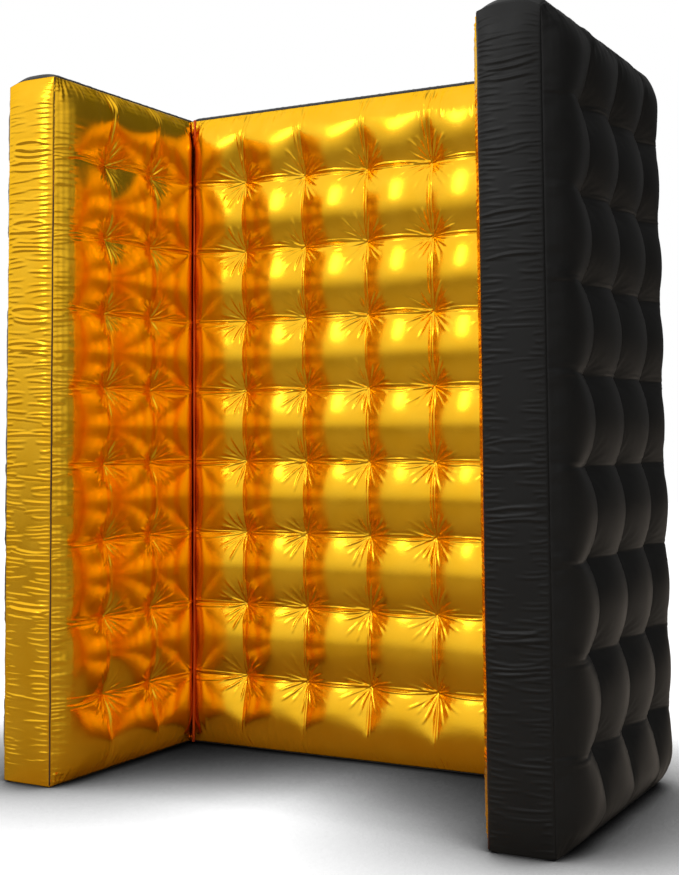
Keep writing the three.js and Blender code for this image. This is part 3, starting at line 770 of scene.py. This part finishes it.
# %% Section of the port
drum_low, drum_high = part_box("blower_housing")
ring_low, ring_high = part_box("blower_clamp_ring")
port_x, port_z = (drum_low.x + drum_high.x) / 2, (drum_low.z + drum_high.z) / 2
DRUM_RADIUS = (drum_high.x - drum_low.x) / 2
RING_RADIUS = (ring_high.x - ring_low.x) / 2
PORT_GAP = 0.0012
cloth_back = ring_high.y + PORT_GAP / 3
PAST = 0.02  # how far the cutter reaches past the cloth on both sides
profile = [
    (0, Y_OUTER - PAST),
    (RING_RADIUS + PORT_GAP, Y_OUTER - PAST),
    (RING_RADIUS + PORT_GAP, cloth_back),
    (DRUM_RADIUS + PORT_GAP, cloth_back),
    (DRUM_RADIUS + PORT_GAP, flange_high.y + PAST),
    (0, flange_high.y + PAST),
]
print("drum radius", round(DRUM_RADIUS, 4), "clamp ring radius", round(RING_RADIUS, 4))

# %% The turned shape
bm = bmesh.new()
turned = [bm.verts.new((port_x + r, y, port_z)) for r, y in profile]
edges = [bm.edges.new(pair) for pair in zip(turned[:-1], turned[1:])]
bmesh.ops.spin(bm, geom=turned + edges, cent=(port_x, 0, port_z), axis=(0, 1, 0), dvec=(0, 0, 0),
               angle=2 * math.pi, steps=96, use_merge=True)
bmesh.ops.remove_doubles(bm, verts=bm.verts, dist=1e-6)
bmesh.ops.recalc_face_normals(bm, faces=bm.faces)
cutter = finish_mesh(bm, "port_cutter")
print("cutter faces", len(cutter.data.polygons))

# %% Cut the port
port = panels["back_outer_panel"].modifiers.new("port", "BOOLEAN")
port.operation = "DIFFERENCE"
port.solver = "MANIFOLD"
port.object = cutter
whole = panels["back_outer_panel"]
cut = bpy.data.meshes.new_from_object(whole.evaluated_get(bpy.context.evaluated_depsgraph_get()))
before = len(whole.data.polygons)
cut.materials.clear()
cut.polygons.foreach_set("material_index", [0] * len(cut.polygons))
whole.modifiers.clear()
whole.data = cut
bpy.data.objects.remove(cutter)
print("port radius", round(DRUM_RADIUS + PORT_GAP, 4), "faces", before, "to", len(cut.polygons))

# %% [markdown]
# ## Front edges and top strips
# A narrow strip closes each wing's front edge and the tops. Air rounds it only a little, and the
# seams on both sides gather it into many short folds that run across the strip.

# %% The height of a strip
WALL = HALF_OUT - HALF_IN
FRONT_CREST = Y_FRONT - gusset_low.y
TOP_CREST = 1.35 * TOP_RISE
EDGE_STEP, TOP_STEP = 0.0038, 0.006  # grid steps along the front edges and the tops


def strip_heights(us, vs, crest, end_round, size, gap_along, seed, crossing=0):
    """A shallow round strip with gathers from both sides and a few folds right across it."""
    t = np.clip((us - us[0]) / (us[-1] - us[0]), 0, 1)[None, :]
    ends = np.minimum(vs - vs[0], vs[-1] - vs)[:, None]
    end = np.clip(1 - (1 - np.clip(ends / end_round, 0, 1)) ** 2, 0, 1)
    heights = crest * CROWN * (1 - np.abs(2 * t - 1) ** 2.8) ** 0.65 * end
    field = np.zeros_like(heights)
    width = us[-1] - us[0]
    for k, edge in enumerate(("low_u", "high_u")):
        lengths = (0.15 * width, 0.6 * width)
        seam_gathers(field, us, vs, edge, gap_along, lengths, size, seed + k, slope=0.1)
    draw = np.random.default_rng(seed + 9)
    for _ in range(crossing):
        at = draw.uniform(vs[0] + 0.15, vs[-1] - 0.15)
        for k in range(draw.integers(1, 4)):
            v0 = at + k * 0.016
            start = (us[0] + draw.uniform(0.003, 0.02), v0)
            stop = (us[-1] - draw.uniform(0.003, 0.04), v0 + 0.012)
            strength = size * draw.uniform(0.9, 1.9)
            fold(field, us, vs, start, stop, strength, 0.0045, draw.uniform(-0.012, 0.012), 0.4, 0.5)
    return np.maximum(heights + field * np.clip(ends / 0.02, 0, 1), 0)


print("strip crests", round(FRONT_CREST, 4), round(TOP_CREST, 4))


# %% Strips in place
def even(low, high, step):
    """Evenly spaced grid lines."""
    return np.linspace(low, high, int(round((high - low) / step)) + 1)


def on_front(side):
    return lambda u, v, w: (side * (HALF_IN + u), Y_FRONT - w + 0 * u, v)


def on_wing_top(side):
    return lambda u, v, w: (side * (HALF_IN + TUCK + u), v, Z_TOP - SEAT + w + 0 * u)


def on_back_top(u, v, w):
    return v, Y_BACK + TUCK + u, Z_TOP - SEAT + w + 0 * u


for side, word in SIDES:
    us, vs = even(0, WALL, EDGE_STEP), even(Z_LOW, Z_TOP, EDGE_STEP)
    heights = strip_heights(us, vs, FRONT_CREST, 0.11, 0.0024, 0.018, 71 + side, 11)
    panels[f"{word}_front_gusset"] = pad(f"{word}_front_edge", us, vs, on_front(side), heights)
    us = even(0, WALL - 2 * TUCK, TOP_STEP)
    vs = even(FRONT_SEAM, Y_OUTER - TUCK, TOP_STEP)
    heights = strip_heights(us, vs, TOP_CREST, 0.04, 0.0014, 0.025, 81 + side)
    panels[f"{word}_top_strip"] = pad(f"{word}_top_edge", us, vs, on_wing_top(side), heights)
us, vs = even(0, WALL - 2 * TUCK, TOP_STEP), even(-HALF_IN, HALF_IN, TOP_STEP)
heights = strip_heights(us, vs, TOP_CREST, 0.02, 0.0014, 0.025, 85)
panels["back_top_strip"] = pad("back_top_edge", us, vs, on_back_top, heights)

# %% [markdown]
# ## Flat sewn cloth
# The ground cloths, the anchor patches and the zip's tapes are flat pieces with hems and stitches.
# Each one is a grid with rounded corners where a real cut has them. A stitch line is a groove that
# dips at every stitch.

# %% Hems, stitches and rounded corners
STITCH = 0.0042


def stitched(across, along, depth, width=0.0010):
    """How far a line of stitches sinks the cloth, from the distance to the line and the way along it."""
    return depth * np.exp(-((across / width) ** 2)) * (0.6 + 0.4 * np.cos(2 * math.pi * along / STITCH))


def rounded(low, high, radius, corners):
    """An outline that draws the named corners of a rectangle into quarter circles."""

    def outline(u, v):
        for su, sv in corners:
            pu = radius - su * ((high if su > 0 else low)[0] - u)
            pv = radius - sv * ((high if sv > 0 else low)[1] - v)
            inside = (pu > 0) & (pv > 0)
            shrink = np.where(inside, np.maximum(pu, pv) / np.maximum(np.hypot(pu, pv), 1e-9), 1)
            u, v = u + su * pu * (shrink - 1), v + sv * pv * (shrink - 1)
        return u, v

    return outline


def rim_distance(us, vs):
    """How far each grid point is from the nearest side."""
    across = np.minimum(us - us[0], us[-1] - us)[None, :]
    return np.minimum(across, np.minimum(vs - vs[0], vs[-1] - vs)[:, None])


ALL_CORNERS = [(su, sv) for su in (-1, 1) for sv in (-1, 1)]
flat_pieces = {}
print("stitch length", STITCH)

# %% Ground cloths
HEM = 0.018
HEM_THICK = 0.0021
SHEET_THICK = 0.0014
free_corners = {
    "back": (),
    "left": ((-1, -1), (1, -1), (-1, 1)),
    "right": ((1, -1), (-1, -1), (1, 1)),
}
for word, corners in free_corners.items():
    low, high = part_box(f"{word}_ground_cloth")
    us, vs = even(low.x, high.x, 0.005), even(low.y, high.y, 0.005)
    inside = rim_distance(us, vs)
    ripple = np.sin(us[None, :] * 41 + np.sin(vs[:, None] * 17)) * np.sin(vs[:, None] * 53)
    hem = np.clip((HEM + 0.004 - inside) / 0.004, 0, 1)
    heights = SHEET_THICK + (HEM_THICK - SHEET_THICK) * hem + 0.0003 * ripple * (1 - hem)
    heights -= 0.0004 * np.exp(-(((inside - HEM) / 0.004) ** 2))
    flat_pieces[f"{word}_ground_cloth"] = pad(
        f"{word}_ground_sheet", us, vs, lambda u, v, w: (u, v, w + 0 * u), heights, None, HEM_THICK,
        rounded(low, high, 0.05, corners))

# %% Anchor patches
PATCH_RIM = 0.0007
PATCH_STITCHES = (0.005, 0.0085)  # two rows, this far from the rim
for word in ("left", "right"):
    low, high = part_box(f"{word}_anchor_patch")
    us, vs = even(low.x, high.x, 0.0010), even(low.z, high.z, 0.0010)
    inside = rim_distance(us, vs)
    top = high.y - low.y - PATCH_RIM
    heights = PATCH_RIM + top * (1 - (1 - np.clip(inside / 0.003, 0, 1)) ** 2)
    for at in PATCH_STITCHES:
        heights -= stitched(inside - at, us[None, :] + vs[:, None], 0.0006)
    flat_pieces[f"{word}_anchor_patch"] = pad(
        f"{word}_anchor_backing", us, vs, lambda u, v, w, y=low.y: (u, y + w, v), heights, None, PATCH_RIM,
        rounded((low.x, low.z), (high.x, high.z), 0.009, ALL_CORNERS))

# %% Zip tapes
TAPE_RIM = 0.0006
for word in ("lower", "upper"):
    low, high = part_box(f"zip_tape_{word}")
    us, vs = even(low.x, high.x, 0.0014), even(low.z, high.z, 0.0011)
    inside = rim_distance(us, vs)
    twill = np.sin((us[None, :] + vs[:, None] * np.sign(np.sin(vs[:, None] * 900))) * 1500)
    heights = TAPE_RIM + np.clip(inside / 0.002, 0, 1) * (0.0003 + 0.00008 * twill)
    outer = vs[0] + 0.004 if word == "lower" else vs[-1] - 0.004
    heights -= stitched(vs[:, None] - outer, us[None, :], 0.0004)
    flat_pieces[f"zip_tape_{word}"] = pad(
        f"zip_{word}_tape", us, vs, lambda u, v, w, y=low.y: (u, y + w, v), heights, None, TAPE_RIM,
        rounded((low.x, low.z), (high.x, high.z), 0.003, ALL_CORNERS))

# %% [markdown]
# ## Anchor straps
# A short webbing strap holds each steel ring. It runs down the patch, under the ring's bar and back
# up, and is sewn to itself. Its section is a thin rounded bar with the ribs of the webbing, carried
# along that path.

# %% Path of a strap
STRAP_THICK = 0.0014
LIE = 0.00005  # how close a strap lies to what it touches


def strap_path(low, high):
    """Points (y, z) of the strap's middle: down the patch, round the bar, and up again onto itself."""
    out = (high.y - low.y) / 2
    bar_y, bar_z = high.y - out, low.z + out
    radius = out - STRAP_THICK / 2 - LIE
    rest = low.y + STRAP_THICK / 2 + LIE
    down = [(rest, z) for z in np.linspace(high.z, bar_z, 24, endpoint=False)]
    half_turn = np.linspace(0, math.pi, 17)
    round_bar = [(bar_y - radius * math.cos(a), bar_z - radius * math.sin(a)) for a in half_turn]
    lap = rest + STRAP_THICK + 0.00015
    up = []
    for t in np.linspace(0, 1, 25)[1:]:
        ease = t * t * (3 - 2 * t)
        up.append((bar_y + radius + (lap - bar_y - radius) * ease, bar_z + 0.017 * t))
    flat_end = [(lap, z) for z in np.linspace(bar_z + 0.017, bar_z + 0.029, 13)[1:]]
    return np.array(down + round_bar + up + flat_end)


print("webbing thickness", STRAP_THICK)


# %% Webbing loops
def webbing(name, low, high):
    """Carries the webbing's section along the path, and gives the strap with its length."""
    path = strap_path(low, high)
    step = np.gradient(path, axis=0)
    step /= np.linalg.norm(step, axis=1, keepdims=True)
    along = np.concatenate(([0], np.cumsum(np.linalg.norm(np.diff(path, axis=0), axis=1))))
    half, middle = (high.x - low.x) / 2, (high.x + low.x) / 2
    columns = 26
    bm, i, j = blank(np.arange(2 * columns + 1.0), along)
    across = half * (1 - 2 * np.abs(i - columns) / columns)
    outward = np.where(i <= columns, 1, -1)
    ribs = 0.93 + 0.07 * np.cos(across / half * 50)
    thick = STRAP_THICK / 2 * np.sqrt(1 - np.abs(across / half) ** 8) * ribs
    from_end = path[j, 1] - path[-1, 1]
    cross_rows = np.minimum(np.abs(from_end + 0.0015), np.abs(from_end + 0.010))
    side_rows = np.abs(across) - half + 0.003
    doubled = along[j] > along[-1] - 0.012
    sewn = stitched(cross_rows, across, 0.0003) + stitched(side_rows, along[j], 0.0003)
    w = outward * (thick - np.minimum(np.where(doubled, sewn, 0), thick * 0.6))
    points = np.stack([middle + across, path[j, 0] - step[j, 1] * w, path[j, 1] + step[j, 0] * w], axis=1)
    set_points(bm, points)
    bmesh.ops.remove_doubles(bm, verts=bm.verts, dist=1e-6)
    rims = [e for e in bm.edges if e.is_boundary]
    bmesh.ops.holes_fill(bm, edges=rims, sides=0)
    bmesh.ops.recalc_face_normals(bm, faces=bm.faces)
    for face in bm.faces:
        face.smooth = len(face.verts) == 4
    obj = finish_mesh(bm, name)
    print(name, len(obj.data.polygons), "faces, strap length", round(float(along[-1]), 4))
    return obj, float(along[-1])


straps = {}
for word in ("left", "right"):
    straps[f"{word}_anchor_loop"] = webbing(f"{word}_anchor_strap", *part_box(f"{word}_anchor_loop"))

# %% [markdown]
# ## Piping
# A thin cord is sewn into each inner corner. A dark cord laid along the seam between a wing's front
# edge and its gold face paints that seam's line of shadow. Each is a ring drawn upwards in steps that
# wander a little, as sewn cord does.

# %% Corner cords, and front seam cords that paint the seam's shadow
def cord_up(name, x, y, radius, seed):
    """A thin round cord that climbs a seam."""
    bm = bmesh.new()
    bmesh.ops.create_circle(bm, segments=8, radius=radius, cap_ends=True)
    bmesh.ops.translate(bm, verts=bm.verts, vec=(x, y, Z_LOW + 0.004))
    top = bm.faces[:]
    wander = np.random.default_rng(seed)
    steps = 90
    rise = (Z_TOP - Z_LOW - 0.008) / steps
    for k in range(steps):
        made = bmesh.ops.extrude_face_region(bm, geom=top)["geom"]
        moved = [g for g in made if isinstance(g, bmesh.types.BMVert)]
        if k:
            bmesh.ops.delete(bm, geom=top, context="FACES_ONLY")
        top = [g for g in made if isinstance(g, bmesh.types.BMFace)]
        drift = wander.uniform(-0.0006, 0.0006, 2) if k < steps - 1 else (0, 0)
        bmesh.ops.translate(bm, verts=moved, vec=(drift[0], drift[1], rise))
    set_points(bm, ease_corners(np.array([v.co[:] for v in bm.verts])))
    bmesh.ops.recalc_face_normals(bm, faces=bm.faces)
    for face in bm.faces:
        face.smooth = True
    obj = finish_mesh(bm, name)
    print(name, len(obj.data.polygons), "faces")
    return obj


CORD_OUT = 0.038  # how far the cords stand out of the two inner corners
CORD_RADIUS, SEAM_SHADE_RADIUS = 0.0058, 0.0026
pipings = {}
for side, word in SIDES:
    x, y = side * (HALF_IN - CORD_OUT), Y_BACK - CORD_OUT
    pipings[f"{word}_corner_cord"] = cord_up(f"{word}_corner_piping", x, y, CORD_RADIUS, 5 + side)
    # Painted shadow: a dark cord along each front seam, where the seam's narrow gap only holds shade.
    seam_shade_name = f"{word}_front_binding"
    pipings[seam_shade_name] = cord_up(seam_shade_name, side * HALF_IN, Y_FRONT, SEAM_SHADE_RADIUS, 8 + side)

# %% [markdown]
# ## Finishes and riding
# Every panel rides on the booth's own body and stands in for its CAD node.

# %% Dress the panels
for name, obj in panels.items():
    is_gold = name.endswith("inner_panel") or name == "left_front_gusset"
    obj.data.materials.append(gold if is_gold else black)
    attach(obj, "booth")
    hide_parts(name)
# Painted shade: the dark brown of the front seam cords stands in for the shadow in the seam.
seam_shade_cloth = woven("dark_seam_painted_shade", (0.06, 0.014, 0.003), (0.03, 0.006, 0.001), 0.5, 0.6, 0.0, 1500.0, 0.6)
red_cord = woven("red_gold_cord", (0.80, 0.12, 0.012), (0.62, 0.08, 0.008), 0.32, 0.42, 0.75, 1500.0, 0.6)
for name, obj in pipings.items():
    obj.data.materials.append(red_cord if name.endswith("corner_cord") else seam_shade_cloth)
    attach(obj, "booth")
    if name in nodes:
        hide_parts(name)
print("dressed", len(panels), "panels and", len(pipings), "cords")

strap_cloth = woven("sewn_strap", (0.02, 0.02, 0.021), (0.012, 0.012, 0.013), 0.6, 0.75, 0.0, 1300.0, 0.9)
for name, obj in flat_pieces.items():
    is_ground = name.endswith("ground_cloth")
    low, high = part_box(name)
    obj.data.materials.append(ground if is_ground else strap_cloth)
    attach(obj, "booth")
    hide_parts(name)
for name, (obj, length) in straps.items():
    low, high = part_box(name)
    obj.data.materials.append(strap_cloth)
    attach(obj, "booth")
    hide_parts(name)

# %% [markdown]
# ## Finishes of the hardware
# The blower, the zip's teeth, the switch, the straps inside the walls and the anchor rings keep their
# CAD shapes. Moulded plastic has a fine grain and a little wear, plated steel has faint brushing, and
# webbing has a coarse weave.

# %% Grain shared by plastics and metals
grain, grain_in, grain_out = group(
    "surface_grain",
    [("Scale", "NodeSocketFloat", 900.0), ("Stretch", "NodeSocketFloat", 1.0)],
    [("Fine", "NodeSocketFloat"), ("Patches", "NodeSocketFloat")],
)
spot = node(grain, "ShaderNodeTexCoord")
axes = node(grain, "ShaderNodeSeparateXYZ", {"Vector": spot.outputs["Object"]})
long_z = maths(grain, "MULTIPLY", axes.outputs["Z"], grain_in.outputs["Stretch"])
drawn = node(grain, "ShaderNodeCombineXYZ", {"X": axes.outputs["X"], "Y": axes.outputs["Y"], "Z": long_z})
fine_links = {"Vector": drawn.outputs[0], "Scale": grain_in.outputs["Scale"]}
fine = node(grain, "ShaderNodeTexNoise", fine_links, Detail=2.0)
patches = node(grain, "ShaderNodeTexNoise", {"Vector": spot.outputs["Object"]}, Scale=14.0, Detail=4.0)
grain.links.new(fine.outputs["Fac"], grain_out.inputs["Fine"])
grain.links.new(patches.outputs["Fac"], grain_out.inputs["Patches"])


print("grain group nodes", len(grain.nodes))


# %% Moulded plastic and steel
def moulded(name, base, worn, roughness, metallic, scale, stretch, bump):
    """Plastic or metal with a grain; stretch below 1 draws the grain out upwards, as brushing does."""
    made, tree, shader = material(name, base, roughness, metallic)
    surface = tree.nodes.new("ShaderNodeGroup")
    surface.node_tree = grain
    surface.inputs["Scale"].default_value = scale
    surface.inputs["Stretch"].default_value = stretch
    tint = ramp(tree, surface.outputs["Patches"], [(0.35, base), (0.7, worn)])
    tree.links.new(tint, shader.inputs["Base Color"])
    rough = node(tree, "ShaderNodeMapRange", {"Value": surface.outputs["Patches"]})
    rough.inputs["To Min"].default_value = roughness - 0.08
    rough.inputs["To Max"].default_value = roughness + 0.12
    tree.links.new(rough.outputs["Result"], shader.inputs["Roughness"])
    grains = {"Height": surface.outputs["Fine"]}
    relief = node(tree, "ShaderNodeBump", grains, Strength=bump, Distance=0.0003)
    tree.links.new(relief.outputs["Normal"], shader.inputs["Normal"])
    return made


print("plastics and metals share the group", grain.name)

# %% A finish for every CAD piece
PLASTIC, WORN_PLASTIC = (0.018, 0.018, 0.02), (0.03, 0.03, 0.032)
ROTOR, WORN_ROTOR = (0.045, 0.047, 0.052), (0.06, 0.062, 0.068)
finishes = {
    "ground_cloth": ground,
    "gold_cloth": gold,
    "black_cloth": black,
    "wall_webbing": woven("wall_webbing", (0.62, 0.6, 0.54), (0.5, 0.48, 0.43), 0.7, 0.85, 0.0, 1100.0, 0.8),
    "sewn_strap": strap_cloth,
    "black_plastic": moulded("black_plastic", PLASTIC, WORN_PLASTIC, 0.42, 0, 1400.0, 1.0, 0.35),
    "rotor_plastic": moulded("rotor_plastic", ROTOR, WORN_ROTOR, 0.4, 0, 1000.0, 1.0, 0.25),
    "steel": moulded("steel", (0.58, 0.59, 0.61), (0.46, 0.47, 0.49), 0.3, 1.0, 700.0, 0.05, 0.2),
    "motor_case": moulded("motor_case", (0.42, 0.43, 0.45), (0.34, 0.35, 0.37), 0.45, 1.0, 900.0, 1.0, 0.3),
}
slots = {part["node"]: part["material_slot"] for part in frame["record"]["subparts"]}
replaced = {*panels, *pipings, *flat_pieces, *straps}
for name, obj in nodes.items():
    if name in replaced:
        continue
    for spot_in_mesh in obj.material_slots:
        spot_in_mesh.material = finishes[slots[name]]
print("finishes", sorted(finishes))

# %% [markdown]
# ## Light, room and floor
# The booth stands in a white room: bright above, dimmer below, with a large soft light in front. The
# gold mirrors all of it, so the room is what colours the cloth: pale above and olive below. The floor
# is painted: the camera sees it glow white with painted contact shadows, and reflections see it as a
# dark warm grey, a painted reflection that deepens the olive.

# %% Room light
world = bpy.data.worlds.new("room")
scene.world = world
world.use_nodes = True
room = world.node_tree
backdrop = room.nodes["Background"]
direction = node(room, "ShaderNodeTexCoord")
upness = node(room, "ShaderNodeSeparateXYZ", {"Vector": direction.outputs["Generated"]})
height = maths(room, "MULTIPLY", upness.outputs["Z"], 0.5)
height = maths(room, "ADD", height, 0.5)
bands = [
    (0.0, (0.12, 0.11, 0.10)),
    (0.42, (0.22, 0.20, 0.18)),
    (0.56, (0.95, 0.95, 0.95)),
    (0.78, (1.1, 1.1, 1.1)),
]
sky = ramp(room, height, bands)
room.links.new(sky, backdrop.inputs["Color"])
behind = maths(room, "ADD", maths(room, "MULTIPLY", upness.outputs["X"], 0.8), upness.outputs["Y"])
shade = node(room, "ShaderNodeMapRange", {"Value": behind})
for label, value in (("From Min", -0.1), ("From Max", 0.9), ("To Min", 1.0), ("To Max", 0.13)):
    shade.inputs[label].default_value = value
room.links.new(shade.outputs["Result"], backdrop.inputs["Strength"])
white = node(room, "ShaderNodeBackground", Color=(1, 1, 1, 1), Strength=1.0)
rays = room.nodes.new("ShaderNodeLightPath")
choose = node(room, "ShaderNodeMixShader", {"Fac": rays.outputs["Is Camera Ray"]})
room.links.new(backdrop.outputs[0], choose.inputs[1])
room.links.new(white.outputs[0], choose.inputs[2])
room.links.new(choose.outputs[0], room.nodes["World Output"].inputs["Surface"])


print("room nodes", len(room.nodes))


# %% Soft lights
def soft_light(name, place, aim, size, power):
    """A rectangular lamp aimed at a point."""
    data = bpy.data.lights.new(name, "AREA")
    data.shape = "RECTANGLE"
    data.size, data.size_y = size
    data.energy = power
    lamp = bpy.data.objects.new(name, data)
    scene.collection.objects.link(lamp)
    lamp.location = place
    lamp.rotation_euler = (Vector(aim) - Vector(place)).to_track_quat("-Z", "Y").to_euler()
    return lamp


soft_light("front_light", (-1.9, -4.6, 4.3), (0, 0, 1.3), (1.4, 2.2), 40)
high_light = soft_light("high_light", (0.6, 3.2, 6.0), (0, -0.4, 0), (3.0, 3.0), 330)
high_light.visible_glossy = False

# %% Floor, glowing white for the camera with painted contact shadows, and painted darker in reflections
bm = bmesh.new()
bmesh.ops.create_grid(bm, x_segments=1, y_segments=1, size=20)
floor = finish_mesh(bm, "floor")
floor_material, floor_tree, floor_shader = material("pale_floor_painted_shadow", (0.92, 0.92, 0.92), 0.9)
floor_out = floor_tree.nodes["Material Output"]
path = floor_tree.nodes.new("ShaderNodeLightPath")
# Painted reflection: glossy rays see the floor as a dark warm grey instead of its pale colour, which paints
# olive shade on the gold's lower halves.
painted_dark_reflection = node(floor_tree, "ShaderNodeBsdfDiffuse", Color=(0.37, 0.32, 0.27, 1))
mix = node(floor_tree, "ShaderNodeMixShader", {"Fac": path.outputs["Is Glossy Ray"]})
floor_tree.links.new(floor_shader.outputs[0], mix.inputs[1])
floor_tree.links.new(painted_dark_reflection.outputs[0], mix.inputs[2])
# Painted contact shadow: camera rays see the floor unlit, as a white glow dimmed by a power of ambient
# occlusion where walls are near.
painted_shadow_ao = floor_tree.nodes.new("ShaderNodeAmbientOcclusion")
painted_shadow_ao.samples = 12
painted_shadow_ao.inputs["Distance"].default_value = 0.8
painted_shadow_share = maths(floor_tree, "MULTIPLY", painted_shadow_ao.outputs["AO"], 1.04)
painted_shadow_strength = maths(floor_tree, "POWER", painted_shadow_share, 4.1)
painted_floor_glow = node(floor_tree, "ShaderNodeEmission", {"Strength": painted_shadow_strength}, Color=(1, 1, 1, 1))
camera_sees_painted_floor = node(floor_tree, "ShaderNodeMixShader", {"Fac": path.outputs["Is Camera Ray"]})
floor_tree.links.new(mix.outputs[0], camera_sees_painted_floor.inputs[1])
floor_tree.links.new(painted_floor_glow.outputs[0], camera_sees_painted_floor.inputs[2])
floor_tree.links.new(camera_sees_painted_floor.outputs[0], floor_out.inputs["Surface"])
floor.data.materials.append(floor_material)
scene.view_settings.view_transform = "Standard"
print("floor", floor_material.name)
